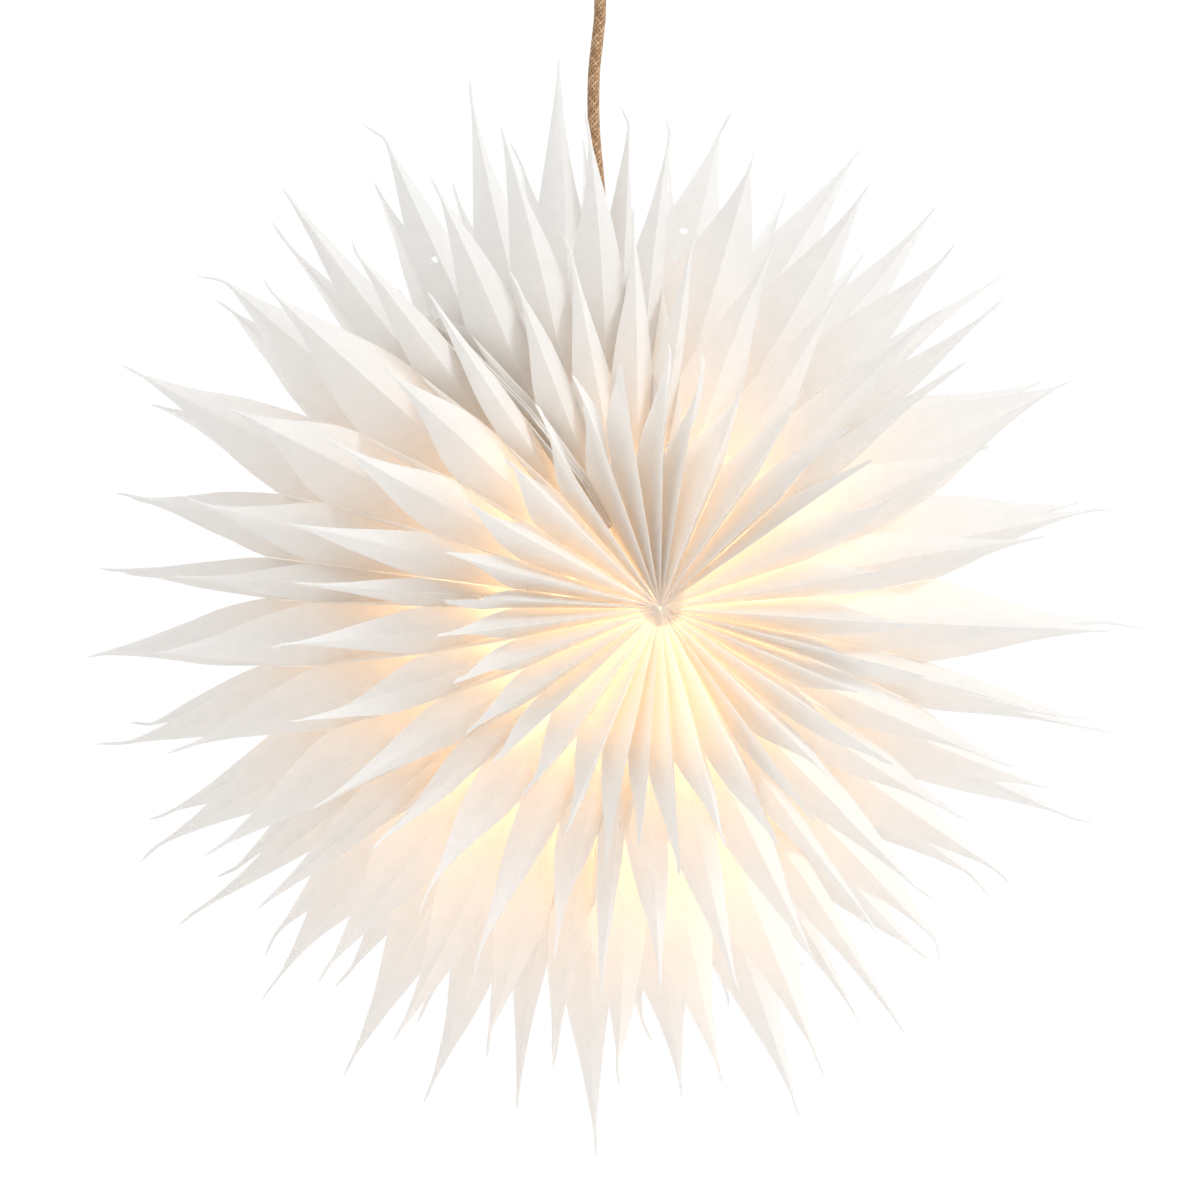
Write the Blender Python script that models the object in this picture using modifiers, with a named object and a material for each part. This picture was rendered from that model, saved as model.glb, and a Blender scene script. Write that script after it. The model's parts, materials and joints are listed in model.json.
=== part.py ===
"""A folding paper snowflake star lantern on a textile cord, hung from a ceiling cup.

Metres, +Z up. The origin is the middle of the flat face that meets the ceiling. The star's own axis is
level, along Y, with its front pole towards -Y, and its middle is straight below the origin. An angle round
that axis is measured from +X towards +Z.

Each of the 32 leaves is a slim bag of folded paper: two side walls glued to its neighbours, joined by seven
V-shaped roofs, one behind the other, and each roof runs out into a spike. The leaves fan out from a glued
spine. They part at a seam, where two stiff boards are tied together.
"""

import math

import bmesh
import bpy
from mathutils import Matrix, Vector

COLLECTION = "paper_snowflake_star"

# The star as a whole
STAR_DROP = 0.420
SPINE_HALF = 0.1725
SPINE_RADIUS = 0.0115
SPINE_INSET = 0.0025
LEAF_START = 0.0121
CAVITY_RADIUS = 0.083
CAVITY_HALF = 0.095

# Rings of spikes from the front pole to the equator: spine point, tip and notch of each roof, as
# (distance from the axis, distance from the equator). The rear half mirrors the first three rings.
SPINE_POINTS = (0.1725, 0.115, 0.0575, 0.0)
TIP_ANGLES = (29.0, 46.5, 68.0, 90.0)
TIP_REACH = (0.278, 0.293, 0.292, 0.305)
NOTCHES = ((0.083, 0.181), (0.128, 0.152), (0.178, 0.073), (0.192, -0.014))
EQUATOR_RING = 3

# A spike's half width past its notch, as shares of the way to the tip and of the width at the notch
SPIKE_TAPER = ((0.0, 1.0), (0.45, 0.38), (1.0, 0.0))

# Widths in degrees of the leaves, clockwise from the cord as seen from the front, and anticlockwise
CLOCKWISE = (
    (7.0, 16.0, 13.0, 12.0),
    (7.0, 17.0, 14.0, 15.0),
    (8.0, 11.5, 11.5, 12.0),
    (7.0, 13.0, 12.0, 11.0),
    (7.0, 10.0, 11.0, 13.0),
    (8.0, 11.5, 11.5, 11.5),
    (7.0, 11.0, 14.0, 15.0),
    (8.0,),
)
ANTICLOCKWISE = (10.5, 10.0, 10.0)
CORD_ANGLE = 90.0

WALL = 0.0004
ROOF_DEPTH = 0.0022
GAP = 0.0003

# Boards and ties at the seam
BOARD_THICKNESS = 0.0010
BOARD_START = 0.052
TIE_REACH = 0.1843
TIE_OFFSET = 0.040
TIE_RADIUS = 0.0009
TIE_LOOP = 0.0055
TIE_FLATTENING = 0.6
TIE_HOLE_RADIUS = 0.0020

# The cord, with its sideways bends as (height above the star's middle, offset along +X). It is straight
# where the ceiling cup's grip slides.
CORD_DIAMETER = 0.007
CORD_SLOT = 0.0096
CORD_SLOT_REACH = (0.063, 0.4)
CORD_LEAD = 0.012
CORD_SPACING = 0.018
CORD_BENDS = (
    (0.130, 0.0),
    (0.175, 0.0006),
    (0.216, 0.0010),
    (0.244, -0.0012),
    (0.272, -0.0036),
    (0.300, -0.0036),
    (0.322, -0.0014),
    (0.336, 0.0),
    (0.350, 0.0),
)

# The lampholder and the bulb, heights above the star's middle
DISC_TOP = 0.0790
DISC_BOTTOM = 0.0774
DISC_RADIUS = 0.020
BORE_RADIUS = 0.0039
GRIP_TOP = 0.0771
GRIP_BOTTOM = 0.0606
GRIP_RADIUS = 0.0080
NIPPLE_RADIUS = 0.0052
CAP_TOP = 0.0696
CAP_RADIUS = 0.0205
HOLDER_JOINT = 0.0446
HOLDER_BOTTOM = 0.0146
HOLDER_RADIUS = 0.0200
HOLDER_WALL = 0.0022
INSERT_BOTTOM = 0.0388
SHELL_RADIUS = 0.0143
SHELL_WALL = 0.0005
BULB_THREAD_RADIUS = 0.0131
BULB_CAP_TOP = 0.0366
BULB_CAP_BOTTOM = 0.0106
COLLAR_BOTTOM = -0.0154
GLOBE_RADIUS = 0.030
GLOBE_MIDDLE = -0.0374

# The ceiling fitting, heights below the ceiling
PLATE_THICKNESS = 0.0020
PLATE_LENGTH = 0.070
PLATE_WIDTH = 0.020
TAB_PLACE = 0.0095
TAB_DROP = 0.0240
SCREW_SPREAD = 0.026
SCREW_RADIUS = 0.0021
SCREW_HOLE_RADIUS = 0.0025
SCREW_HEAD_RADIUS = 0.0040
TERMINAL = (0.0160, 0.0120, 0.0110)
CLAMP = (0.0150, 0.0120, 0.0080)
CUP_RADIUS = 0.045
CUP_HEIGHT = 0.046
CUP_WALL = 0.0016
CUP_HOLE_RADIUS = 0.0062
CUP_GRIP_TOP = 0.0400
CUP_GRIP_BOTTOM = 0.0560
CUP_GRIP_RADIUS = 0.0085
GRIP_SCREW_RADIUS = 0.0015
GRIP_SCREW_HEIGHT = 0.0512

ROUND = 20
SMALL_ROUND = 10


def clear_scene():
    for obj in list(bpy.data.objects):
        bpy.data.objects.remove(obj, do_unlink=True)


def new_collection(name, hidden=False):
    collection = bpy.data.collections.new(name)
    collection.hide_render = hidden
    bpy.context.scene.collection.children.link(collection)
    return collection


def material(name, colour, roughness, metallic=0.0):
    made = bpy.data.materials.new(name)
    made.use_nodes = True
    shader = made.node_tree.nodes["Principled BSDF"]
    shader.inputs["Base Color"].default_value = (*colour, 1.0)
    shader.inputs["Roughness"].default_value = roughness
    shader.inputs["Metallic"].default_value = metallic
    return made


def make_materials():
    return {
        "paper": material("paper", (0.90, 0.89, 0.86), 0.85),
        "board": material("board", (0.88, 0.87, 0.84), 0.80),
        "glue": material("glue", (0.86, 0.84, 0.78), 0.60),
        "thread": material("thread", (0.90, 0.88, 0.82), 0.90),
        "cord": material("cord", (0.45, 0.35, 0.22), 0.85),
        "plastic": material("plastic", (0.86, 0.85, 0.82), 0.40),
        "steel": material("steel", (0.62, 0.62, 0.62), 0.35, 1.0),
        "brass": material("brass", (0.72, 0.55, 0.26), 0.35, 1.0),
        "glass": material("glass", (0.95, 0.93, 0.88), 0.25),
        "ceramic": material("ceramic", (0.92, 0.91, 0.88), 0.50),
    }


def place(mesh, name, home, finish, location=(0.0, 0.0, 0.0), turn=None, smooth=False):
    """A new object of this mesh, at a place and with a turn."""
    obj = bpy.data.objects.new(name, mesh)
    home.objects.link(obj)
    obj.matrix_world = Matrix.Translation(location) @ (turn or Matrix.Identity(4))
    mesh.materials.clear()
    mesh.materials.append(finish)
    if smooth:
        mesh.shade_smooth()
        mesh.set_sharp_from_angle(angle=math.radians(35))
    return obj


def applied(obj, name):
    """The object's evaluated mesh, as a new mesh, and the object is removed."""
    graph = bpy.context.evaluated_depsgraph_get()
    mesh = bpy.data.meshes.new_from_object(obj.evaluated_get(graph))
    mesh.name = name
    bpy.data.objects.remove(obj, do_unlink=True)
    return mesh


def joined(base, other, operation, name, home):
    """The two meshes combined by an exact Boolean."""
    first = bpy.data.objects.new("boolean_base", base)
    second = bpy.data.objects.new("boolean_other", other)
    home.objects.link(first)
    home.objects.link(second)
    modifier = first.modifiers.new("combine", "BOOLEAN")
    modifier.operation = operation
    modifier.solver = "EXACT"
    modifier.object = second
    bpy.context.view_layer.update()
    mesh = applied(first, name)
    bpy.data.objects.remove(second, do_unlink=True)
    return mesh


def mesh_from(bm, name):
    bmesh.ops.recalc_face_normals(bm, faces=bm.faces)
    mesh = bpy.data.meshes.new(name)
    bm.to_mesh(mesh)
    bm.free()
    return mesh


# --- paper leaves -----------------------------------------------------------------------------------


def cavity_edge(height):
    """Distance from the axis of the lamp space's edge, this far from the equator."""
    share = 1.0 - (height / CAVITY_HALF) ** 2
    return CAVITY_RADIUS * math.sqrt(share) if share > 0.0 else 0.0


def tip_of(ring):
    angle = math.radians(TIP_ANGLES[ring])
    return Vector((TIP_REACH[ring] * math.sin(angle), TIP_REACH[ring] * math.cos(angle)))


def first_point(start, end):
    """Where the line from a spine point leaves the spine or the lamp space."""
    start, end = Vector(start), Vector(end)
    for step in range(400):
        point = start.lerp(end, step / 400)
        if point.x >= LEAF_START and point.x >= cavity_edge(point.y) + GAP:
            return point
    return end


def wall_outline(start=LEAF_START):
    """A side wall's outline as (distance from the axis, distance from the equator)."""
    front = [Vector(notch) for notch in NOTCHES[:EQUATOR_RING]]
    outer = [Vector((start, SPINE_HALF)), *front, Vector((NOTCHES[EQUATOR_RING][0], 0.0))]
    mirrored = [Vector((point.x, -point.y)) for point in reversed(outer[:-1])]
    limit = CAVITY_HALF * math.sqrt(1.0 - (start / CAVITY_RADIUS) ** 2)
    steps = 8
    inner = []
    for step in range(steps + 1):
        height = -limit * math.cos(math.pi * step / steps)
        inner.append(Vector((max(start, cavity_edge(height)), height)))
    return outer + mirrored + inner


def plate(outline, near, far):
    """A flat plate over an outline in the plane of the axis and +X, from one side distance to another."""
    bm = bmesh.new()
    corners = [bm.verts.new((point.x, near, point.y)) for point in outline]
    face = bm.faces.new(corners)
    grown = bmesh.ops.extrude_face_region(bm, geom=[face])["geom"]
    moved = [item for item in grown if isinstance(item, bmesh.types.BMVert)]
    bmesh.ops.translate(bm, verts=moved, vec=(0.0, far - near, 0.0))
    return bm


def leaf_frame(point, side):
    """A point of a leaf standing on the +X plane: axis distance along X, side along Y, height along Z."""
    return Vector((point.x, side, point.y))


def roof(bm, ring, flip, half_turn):
    """One V-shaped roof with its spike, as a closed sheet, added to bm."""
    spine = Vector((0.0, SPINE_POINTS[ring]))
    tip = tip_of(ring)
    notch = Vector(NOTCHES[ring])
    inset = GAP / 2 + WALL / 2
    ridge_start = first_point(spine, tip)
    valley_start = first_point(spine, notch)
    ridge_notch = spine.lerp(tip, notch.x / tip.x)
    rows = [(ridge_start, valley_start, valley_start.x * math.tan(half_turn) - inset)]
    notch_width = notch.x * math.tan(half_turn) - inset
    for share, width in SPIKE_TAPER:
        middle = ridge_notch.lerp(tip, share)
        edge = middle + (notch - ridge_notch) * width
        rows.append((middle, edge, notch_width * width))
    sign = -1.0 if flip else 1.0
    depth = Vector((0.0, 0.0, -sign * ROOF_DEPTH))
    layers = []
    for shift in (Vector((0.0, 0.0, 0.0)), depth):
        lines = []
        for middle, edge, width in rows:
            middle = Vector((middle.x, sign * middle.y))
            edge = Vector((edge.x, sign * edge.y))
            ridge = bm.verts.new(leaf_frame(middle, 0.0) + shift)
            if width > 1e-6:
                left = bm.verts.new(leaf_frame(edge, -width) + shift)
                right = bm.verts.new(leaf_frame(edge, width) + shift)
                lines.append((left, ridge, right))
            else:
                lines.append((ridge, ridge, ridge))
        layers.append(lines)
    top, bottom = layers
    for lines in layers:
        for first, second in zip(lines, lines[1:]):
            for a, b in ((0, 1), (1, 2)):
                ring_face = [first[a], first[b], second[b], second[a]]
                bm.faces.new(list(dict.fromkeys(ring_face)))
    rim_top = [row[0] for row in top] + [row[2] for row in reversed(top[:-1])] + [top[0][1]]
    rim_bottom = [row[0] for row in bottom] + [row[2] for row in reversed(bottom[:-1])] + [bottom[0][1]]
    count = len(rim_top)
    for index in range(count):
        after = (index + 1) % count
        bm.faces.new((rim_top[index], rim_top[after], rim_bottom[after], rim_bottom[index]))


def leaf_mesh(width, home):
    """A leaf of this many degrees, standing on the plane of +X, with its spine along Z and its wall at -Y."""
    half_turn = math.radians(width) / 2
    wall = mesh_from(plate(wall_outline(), GAP / 2, GAP / 2 + WALL), "wall")
    wall.transform(Matrix.Rotation(-half_turn, 4, "Z"))
    roofs = bmesh.new()
    for ring in range(len(SPINE_POINTS)):
        roof(roofs, ring, False, half_turn)
        if ring != EQUATOR_RING:
            roof(roofs, ring, True, half_turn)
    mesh = joined(wall, mesh_from(roofs, "roofs"), "UNION", f"leaf_{width:g}", home)
    bm = bmesh.new()
    bm.from_mesh(mesh)
    bmesh.ops.dissolve_limit(bm, angle_limit=math.radians(0.05), verts=bm.verts, edges=bm.edges)
    bmesh.ops.triangulate(bm, faces=bm.faces)
    bm.to_mesh(mesh)
    bm.free()
    return mesh


def with_cord_slot(mesh, width, home):
    """The leaf with room for the cord, which runs straight out along the leaf's +Y edge."""
    bm = bmesh.new()
    bmesh.ops.create_cube(bm, size=1.0)
    first, last = CORD_SLOT_REACH
    bmesh.ops.scale(bm, vec=(last - first, CORD_SLOT, CORD_SLOT), verts=bm.verts)
    bmesh.ops.translate(bm, vec=((first + last) / 2, 0.0, 0.0), verts=bm.verts)
    cutter = mesh_from(bm, "cord_slot")
    cutter.transform(Matrix.Rotation(math.radians(width) / 2, 4, "Z"))
    return joined(mesh.copy(), cutter, "DIFFERENCE", mesh.name + "_slotted", home)


def mirrored(mesh):
    """The leaf with its wall at +Y."""
    other = mesh.copy()
    other.transform(Matrix.Scale(-1.0, 4, (0.0, 1.0, 0.0)))
    other.flip_normals()
    return other


def star_turn(angle):
    """Turns a shape that stands on the plane of +X, with its spine along Z, to this angle round the star."""
    return Matrix.Rotation(-math.radians(angle), 4, "Y") @ Matrix.Rotation(math.pi / 2, 4, "X")


def make_leaves(home, helpers, finish):
    """All the leaves, and the two angles where the seam's leaves end."""
    middle = (0.0, 0.0, -STAR_DROP)
    shapes = {}
    clockwise = [width for bundle in CLOCKWISE for width in bundle]
    for width in {*clockwise, *ANTICLOCKWISE}:
        shapes[width] = leaf_mesh(width, helpers)
    ends = []
    for widths, side, sign in ((clockwise, "cw", -1.0), (ANTICLOCKWISE, "ccw", 1.0)):
        angle = CORD_ANGLE
        for number, width in enumerate(widths, start=1):
            shape = shapes[width]
            if number == 1:
                shape = with_cord_slot(shape, width, helpers)
            if side == "ccw":
                shape = mirrored(shape)
            turn = star_turn(angle + sign * width / 2)
            place(shape, f"leaf_{side}_{number:02d}", home, finish, middle, turn)
            angle += sign * width
        ends.append(angle)
    return ends


def make_spines(home, finish):
    """The glued back edges of the leaves, in front of and behind the lamp space."""
    length = SPINE_HALF - CAVITY_HALF - SPINE_INSET
    for name, sign in (("spine_front", -1.0), ("spine_rear", 1.0)):
        bm = bmesh.new()
        bmesh.ops.create_cone(
            bm,
            cap_ends=True,
            segments=SMALL_ROUND,
            radius1=SPINE_RADIUS,
            radius2=SPINE_RADIUS,
            depth=length,
            matrix=Matrix.Rotation(math.pi / 2, 4, "X"),
        )
        place_at = (0.0, sign * (CAVITY_HALF + length / 2), -STAR_DROP)
        place(mesh_from(bm, name), name, home, finish, place_at, smooth=True)


def board_mesh(home, name):
    """A seam board in the plane of the axis and +X, on its +Y side, with the two holes for the ties."""
    board = mesh_from(plate(wall_outline(BOARD_START), GAP / 2, GAP / 2 + BOARD_THICKNESS), name)
    for offset in (TIE_OFFSET, -TIE_OFFSET):
        bm = bmesh.new()
        place_at = Vector((TIE_REACH - TIE_LOOP, 0.0, offset))
        bmesh.ops.create_cone(
            bm,
            cap_ends=True,
            segments=SMALL_ROUND,
            radius1=TIE_HOLE_RADIUS,
            radius2=TIE_HOLE_RADIUS,
            depth=0.01,
            matrix=Matrix.Translation(place_at) @ Matrix.Rotation(math.pi / 2, 4, "X"),
        )
        board = joined(board, mesh_from(bm, "tie_hole"), "DIFFERENCE", name, home)
    return board


def make_seam(home, helpers, finishes, ends):
    """The two stiff boards at the seam, and the two loops of thread that tie them together."""
    middle = (0.0, 0.0, -STAR_DROP)
    seam = sum(angle % 360.0 for angle in ends) / 2
    board = board_mesh(helpers, "board")
    place(board, "board_cw", home, finishes["board"], middle, star_turn(seam))
    place(mirrored(board), "board_ccw", home, finishes["board"], middle, star_turn(seam))
    for name, offset in (("seam_tie_front", TIE_OFFSET), ("seam_tie_rear", -TIE_OFFSET)):
        bpy.ops.mesh.primitive_torus_add(
            major_segments=16, minor_segments=6, major_radius=TIE_LOOP, minor_radius=TIE_RADIUS
        )
        loop = bpy.context.object
        mesh = loop.data
        bpy.data.objects.remove(loop, do_unlink=True)
        mesh.transform(Matrix.Scale(TIE_FLATTENING, 4, (0.0, 1.0, 0.0)))
        mesh.transform(Matrix.Translation((TIE_REACH, 0.0, offset)))
        place(mesh, name, home, finishes["thread"], middle, star_turn(seam), smooth=True)


# --- lampholder, bulb and cord ----------------------------------------------------------------------


def turned(profile, name, home, finish, height=-STAR_DROP, closed=True, segments=ROUND):
    """A solid turned about the vertical axis. Its profile of (radius, height) runs down its outer side."""
    mesh = bpy.data.meshes.new(name)
    points = [(radius, 0.0, level) for radius, level in profile]
    edges = [(index, index + 1) for index in range(len(points) - 1)]
    if closed:
        edges.append((len(points) - 1, 0))
    mesh.from_pydata(points, edges, [])
    obj = place(mesh, name, home, finish, (0.0, 0.0, height))
    screw = obj.modifiers.new("turn", "SCREW")
    screw.steps = segments
    screw.render_steps = segments
    screw.use_merge_vertices = True
    screw.merge_threshold = 0.00005
    screw.use_smooth_shade = True
    return obj


def made_solid(obj):
    """The object with its modifiers applied to its own mesh."""
    graph = bpy.context.evaluated_depsgraph_get()
    obj.data = bpy.data.meshes.new_from_object(obj.evaluated_get(graph))
    obj.modifiers.clear()
    return obj


def arc(middle, radius, first, last, steps):
    """Points along an arc in the plane of radius and height, angles in degrees from the +radius direction."""
    points = []
    for step in range(steps + 1):
        angle = math.radians(first + (last - first) * step / steps)
        points.append((middle[0] + radius * math.cos(angle), middle[1] + radius * math.sin(angle)))
    return points


def make_lamp(home, finishes):
    bore = BORE_RADIUS
    turned(
        [(DISC_RADIUS, DISC_TOP), (DISC_RADIUS, DISC_BOTTOM), (bore, DISC_BOTTOM), (bore, DISC_TOP)],
        "carrier_disc", home, finishes["plastic"],
    )
    shoulder = CAP_TOP + GAP
    turned(
        [
            (GRIP_RADIUS * 0.75, GRIP_TOP),
            (GRIP_RADIUS, GRIP_TOP - 0.003),
            (GRIP_RADIUS, shoulder),
            (NIPPLE_RADIUS, shoulder),
            (NIPPLE_RADIUS, GRIP_BOTTOM),
            (bore, GRIP_BOTTOM),
            (bore, GRIP_TOP),
        ],
        "cord_grip", home, finishes["plastic"], segments=SMALL_ROUND,
    )
    hole = NIPPLE_RADIUS + GAP
    inner = CAP_RADIUS - HOLDER_WALL
    corner = 0.008
    turned(
        [
            (hole, CAP_TOP),
            *arc((CAP_RADIUS - corner, CAP_TOP - corner), corner, 90.0, 0.0, 3),
            (CAP_RADIUS, HOLDER_JOINT),
            (inner, HOLDER_JOINT),
            (inner, CAP_TOP - corner),
            (inner - corner + HOLDER_WALL, CAP_TOP - HOLDER_WALL),
            (hole, CAP_TOP - HOLDER_WALL),
        ],
        "holder_cap", home, finishes["plastic"],
    )
    joint = HOLDER_JOINT - GAP
    inner = HOLDER_RADIUS - HOLDER_WALL
    turned(
        [
            (HOLDER_RADIUS, joint),
            (HOLDER_RADIUS, HOLDER_BOTTOM + 0.003),
            (HOLDER_RADIUS - 0.001, HOLDER_BOTTOM),
            (inner, HOLDER_BOTTOM),
            (inner, joint),
        ],
        "holder_sleeve", home, finishes["plastic"],
    )
    insert_radius = inner - GAP
    turned(
        [
            (0.0, joint),
            (insert_radius, joint),
            (insert_radius, INSERT_BOTTOM),
            (0.0045, INSERT_BOTTOM),
            (0.0035, INSERT_BOTTOM - 0.0012),
            (0.0, INSERT_BOTTOM - 0.0012),
        ],
        "contact_insert", home, finishes["ceramic"], closed=False,
    )
    shell_top = INSERT_BOTTOM - GAP
    turned(
        [
            (SHELL_RADIUS, shell_top),
            (SHELL_RADIUS, HOLDER_BOTTOM + 0.004),
            (SHELL_RADIUS - SHELL_WALL, HOLDER_BOTTOM + 0.004),
            (SHELL_RADIUS - SHELL_WALL, shell_top),
        ],
        "thread_shell", home, finishes["brass"],
    )
    turned(
        [
            (0.0, BULB_CAP_TOP),
            (0.0045, BULB_CAP_TOP),
            (0.0060, BULB_CAP_TOP - 0.002),
            (BULB_THREAD_RADIUS, BULB_CAP_TOP - 0.005),
            (BULB_THREAD_RADIUS, BULB_CAP_BOTTOM),
            (0.0, BULB_CAP_BOTTOM),
        ],
        "bulb_cap", home, finishes["brass"], closed=False,
    )
    collar_top = BULB_CAP_BOTTOM - GAP
    turned(
        [
            (0.0, collar_top),
            (0.0140, collar_top),
            (0.0165, collar_top - 0.006),
            (0.0215, COLLAR_BOTTOM),
            (0.0, COLLAR_BOTTOM),
        ],
        "bulb_collar", home, finishes["plastic"], closed=False,
    )
    globe_top = COLLAR_BOTTOM - GAP
    rise = globe_top - GLOBE_MIDDLE
    start = math.degrees(math.asin(rise / GLOBE_RADIUS))
    turned(
        [(0.0, globe_top), *arc((0.0, GLOBE_MIDDLE), GLOBE_RADIUS, start, -90.0, 7)],
        "bulb_globe", home, finishes["glass"], closed=False,
    )


def smooth_route(points, spacing):
    """Points about this far apart along a smooth curve through all of the given points."""
    points = [Vector(point) for point in points]
    padded = [2 * points[0] - points[1], *points, 2 * points[-1] - points[-2]]
    route = []
    for a, b, c, d in zip(padded, padded[1:], padded[2:], padded[3:]):
        steps = max(1, round((c - b).length / spacing))
        for step in range(steps):
            t = step / steps
            linear = (c - a) * t
            square = (2 * a - 5 * b + 4 * c - d) * t**2
            cube = (3 * b - 3 * c + d - a) * t**3
            route.append(b + (linear + square + cube) / 2)
    return [*route, points[-1]]


def make_cord(home, finish):
    top = -(PLATE_THICKNESS + TERMINAL[2] + CLAMP[2] + 3 * GAP)
    bends = [(offset, 0.0, height - STAR_DROP) for height, offset in CORD_BENDS]
    through = [
        (0.0, 0.0, DISC_BOTTOM - STAR_DROP),
        (0.0, 0.0, DISC_TOP + CORD_LEAD - STAR_DROP),
        *bends,
        (0.0, 0.0, -CUP_GRIP_BOTTOM),
        (0.0, 0.0, -CUP_GRIP_TOP),
        (0.0, 0.0, top),
    ]
    curve = bpy.data.curves.new("cord", "CURVE")
    curve.dimensions = "3D"
    curve.bevel_depth = CORD_DIAMETER / 2
    curve.bevel_resolution = 2
    curve.use_fill_caps = True
    route = smooth_route(through, CORD_SPACING)
    spline = curve.splines.new("POLY")
    spline.points.add(len(route) - 1)
    for point, place_at in zip(spline.points, route):
        point.co = (*place_at, 1.0)
    cord = bpy.data.objects.new("cord", curve)
    curve.materials.append(finish)
    home.objects.link(cord)


# --- ceiling fitting --------------------------------------------------------------------------------


def box_mesh(low, high, name):
    bm = bmesh.new()
    bmesh.ops.create_cube(bm, size=1.0)
    low, high = Vector(low), Vector(high)
    bmesh.ops.scale(bm, vec=high - low, verts=bm.verts)
    bmesh.ops.translate(bm, vec=(low + high) / 2, verts=bm.verts)
    return mesh_from(bm, name)


def rod_mesh(radius, start, end, name, segments=SMALL_ROUND):
    """A cylinder between two points."""
    start, end = Vector(start), Vector(end)
    turn = (end - start).to_track_quat("Z", "Y").to_matrix().to_4x4()
    bm = bmesh.new()
    bmesh.ops.create_cone(
        bm,
        cap_ends=True,
        segments=segments,
        radius1=radius,
        radius2=radius,
        depth=(end - start).length,
        matrix=Matrix.Translation((start + end) / 2) @ turn,
    )
    return mesh_from(bm, name)


def make_ceiling_plate(home, helpers, finish):
    half_length, half_width = PLATE_LENGTH / 2, PLATE_WIDTH / 2
    bar = box_mesh((-half_length, -half_width, -PLATE_THICKNESS), (half_length, half_width, 0.0), "bar")
    tab = box_mesh(
        (TAB_PLACE, -half_width * 0.6, -TAB_DROP),
        (TAB_PLACE + PLATE_THICKNESS, half_width * 0.6, -PLATE_THICKNESS / 2),
        "tab",
    )
    plate_mesh = joined(bar, tab, "UNION", "ceiling_plate", helpers)
    for side in (-1.0, 1.0):
        place_at = side * SCREW_SPREAD
        hole = rod_mesh(SCREW_HOLE_RADIUS, (place_at, 0.0, 0.01), (place_at, 0.0, -0.01), "screw_hole")
        plate_mesh = joined(plate_mesh, hole, "DIFFERENCE", "ceiling_plate", helpers)
    place(plate_mesh, "ceiling_plate", home, finish)


def make_plate_screws(home, finish):
    for name, side in (("plate_screw_left", -1.0), ("plate_screw_right", 1.0)):
        under = -PLATE_THICKNESS - GAP
        screw = turned(
            [
                (0.0, -0.0004),
                (SCREW_RADIUS, -0.0004),
                (SCREW_RADIUS, under),
                (SCREW_HEAD_RADIUS, under),
                (SCREW_HEAD_RADIUS, under - 0.0010),
                (SCREW_HEAD_RADIUS * 0.6, under - 0.0022),
                (0.0, under - 0.0022),
            ],
            name, home, finish, height=0.0, closed=False, segments=SMALL_ROUND,
        )
        screw.location.x = side * SCREW_SPREAD


def make_ceiling_blocks(home, finishes):
    """The terminal block under the plate, and the clamp below it that holds the cord's end."""
    edge = TAB_PLACE - GAP
    top = -PLATE_THICKNESS - GAP
    bottom = top - TERMINAL[2]
    low = (edge - TERMINAL[0], -TERMINAL[1] / 2, bottom)
    place(box_mesh(low, (edge, TERMINAL[1] / 2, top), "terminal_block"), "terminal_block", home, finishes["plastic"])
    top = bottom - GAP
    low = (edge - CLAMP[0], -CLAMP[1] / 2, top - CLAMP[2])
    place(box_mesh(low, (edge, CLAMP[1] / 2, top), "cord_clamp"), "cord_clamp", home, finishes["plastic"])


def make_ceiling_cup(home, helpers, finishes):
    corner = 0.014
    inner = CUP_RADIUS - CUP_WALL
    middle = (CUP_RADIUS - corner, -CUP_HEIGHT + corner)
    turned(
        [
            (CUP_RADIUS, -GAP),
            *arc(middle, corner, 0.0, -90.0, 3),
            (CUP_HOLE_RADIUS, -CUP_HEIGHT),
            (CUP_HOLE_RADIUS, -CUP_HEIGHT + CUP_WALL),
            *reversed(arc(middle, corner - CUP_WALL, 0.0, -90.0, 3)),
            (inner, -GAP),
        ],
        "ceiling_cup", home, finishes["plastic"], height=0.0, segments=28,
    )
    neck = CUP_HOLE_RADIUS - GAP
    under = -CUP_HEIGHT - GAP
    grip = made_solid(
        turned(
            [
                (neck, -CUP_GRIP_TOP),
                (neck, under),
                (CUP_GRIP_RADIUS, under),
                (CUP_GRIP_RADIUS, -CUP_GRIP_BOTTOM + 0.002),
                (CUP_GRIP_RADIUS - 0.002, -CUP_GRIP_BOTTOM),
                (BORE_RADIUS, -CUP_GRIP_BOTTOM),
                (BORE_RADIUS, -CUP_GRIP_TOP),
            ],
            "cup_grip", home, finishes["plastic"], height=0.0, segments=SMALL_ROUND,
        )
    )
    start = (BORE_RADIUS + GAP, 0.0, -GRIP_SCREW_HEIGHT)
    inside = (0.0, 0.0, -GRIP_SCREW_HEIGHT)
    outside = (0.02, 0.0, -GRIP_SCREW_HEIGHT)
    hole = rod_mesh(GRIP_SCREW_RADIUS + GAP, inside, outside, "grip_screw_hole")
    grip.data = joined(grip.data, hole, "DIFFERENCE", "cup_grip", helpers)
    end = (CUP_GRIP_RADIUS + 0.001, 0.0, -GRIP_SCREW_HEIGHT)
    screw = rod_mesh(GRIP_SCREW_RADIUS, start, end, "cup_grip_screw")
    place(screw, "cup_grip_screw", home, finishes["steel"], smooth=True)


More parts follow.
